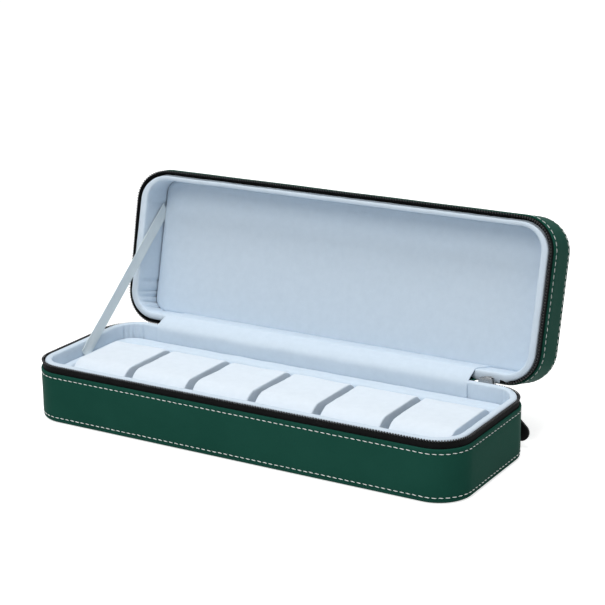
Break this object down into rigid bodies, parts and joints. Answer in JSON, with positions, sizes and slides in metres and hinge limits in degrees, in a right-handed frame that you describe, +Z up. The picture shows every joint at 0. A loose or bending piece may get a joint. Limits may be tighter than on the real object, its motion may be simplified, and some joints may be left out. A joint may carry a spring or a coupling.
{
  "type": "watch travel case",
  "caption": "Long zipped travel case with rounded corners, a hinged lid held open by a ribbon, and a tray of lift-out watch pillows.",
  "frame": {"origin": "centre of the base's flat underside", "axes": "+X along the long side to the zip slider's end, +Y to the hinged back, +Z up; the lid stands open at rest"},
  "size_m": [0.32, 0.1699, 0.1452],
  "materials": {
    "green_leather": "fine-grained coated leather, semi-gloss",
    "stiffening_board": "grey-brown paper board, matt",
    "zip_tape": "woven polyester tape",
    "zip_coil": "moulded nylon coil",
    "zip_metal": "bright plated zinc",
    "velvet_lining": "short-pile velvet over thin foam",
    "pillow_velvet": "short-pile velvet",
    "pillow_foam": "soft foam block",
    "ribbon_satin": "satin ribbon",
    "black_leather": "black leather, cut edge painted"
  },
  "bodies": {
    "base": {"base_bottom_panel": "green_leather", "base_leather_wall": "green_leather", "base_wall_board": "stiffening_board", "base_bottom_board": "stiffening_board", "base_zip_tape": "zip_tape", "base_zip_coil": "zip_coil", "zip_end_stop": "zip_metal", "base_lining_wall": "velvet_lining", "base_floor_pad": "velvet_lining", "tray_frame": "velvet_lining", "tray_dividers": "velvet_lining", "hinge_spine_leather": "green_leather", "hinge_lining_strip": "velvet_lining", "stay_ribbon": "ribbon_satin", "lid_zip_tail": "zip_tape"},
    "lid": {"lid_leather_wall": "green_leather", "lid_top_panel": "green_leather", "lid_wall_board": "stiffening_board", "lid_top_board": "stiffening_board", "lid_zip_tape": "zip_tape", "lid_zip_coil": "zip_coil", "lid_lining_wall": "velvet_lining", "lid_panel_board": "stiffening_board", "lid_lining_panel": "velvet_lining"},
    "pillow_1": {"pillow_1_cover": "pillow_velvet", "pillow_1_core": "pillow_foam"},
    "pillow_2": {"pillow_2_cover": "pillow_velvet", "pillow_2_core": "pillow_foam"},
    "pillow_3": {"pillow_3_cover": "pillow_velvet", "pillow_3_core": "pillow_foam"},
    "pillow_4": {"pillow_4_cover": "pillow_velvet", "pillow_4_core": "pillow_foam"},
    "pillow_5": {"pillow_5_cover": "pillow_velvet", "pillow_5_core": "pillow_foam"},
    "pillow_6": {"pillow_6_cover": "pillow_velvet", "pillow_6_core": "pillow_foam"},
    "slider": {"zip_slider": "zip_metal"},
    "link": {"pull_link": "zip_metal"},
    "tab": {"pull_tab": "black_leather"}
  },
  "joints": [
    {"name": "lid_hinge", "type": "hinge", "parent": "base", "child": "lid", "pos_m": [0, 0.0554, 0.0392], "axis": [-1, 0, 0], "range_deg": [-104, 0], "deforming": ["hinge_spine_leather", "hinge_lining_strip", "stay_ribbon", "lid_zip_tail"]},
    {"name": "pillow_1_lift", "type": "slide", "parent": "base", "child": "pillow_1", "axis": [0, 0, 1], "range_m": [0, 0.045]},
    {"name": "pillow_2_lift", "type": "slide", "parent": "base", "child": "pillow_2", "axis": [0, 0, 1], "range_m": [0, 0.045]},
    {"name": "pillow_3_lift", "type": "slide", "parent": "base", "child": "pillow_3", "axis": [0, 0, 1], "range_m": [0, 0.045]},
    {"name": "pillow_4_lift", "type": "slide", "parent": "base", "child": "pillow_4", "axis": [0, 0, 1], "range_m": [0, 0.045]},
    {"name": "pillow_5_lift", "type": "slide", "parent": "base", "child": "pillow_5", "axis": [0, 0, 1], "range_m": [0, 0.045]},
    {"name": "pillow_6_lift", "type": "slide", "parent": "base", "child": "pillow_6", "axis": [0, 0, 1], "range_m": [0, 0.045]},
    {"name": "zip_travel", "type": "slide", "parent": "base", "child": "slider", "axis": [1, 0, 0], "range_m": [-0.0035, 0.001]},
    {"name": "link_swing", "type": "hinge", "parent": "slider", "child": "link", "pos_m": [0.128, 0.05675, 0.0405], "axis": [0, -1, 0], "range_deg": [0, 30]},
    {"name": "tab_flap", "type": "hinge", "parent": "link", "child": "tab", "pos_m": [0.13281, 0.05675, 0.03411], "axis": [0.7986, 0, 0.6018], "range_deg": [0, 45]}
  ]
}
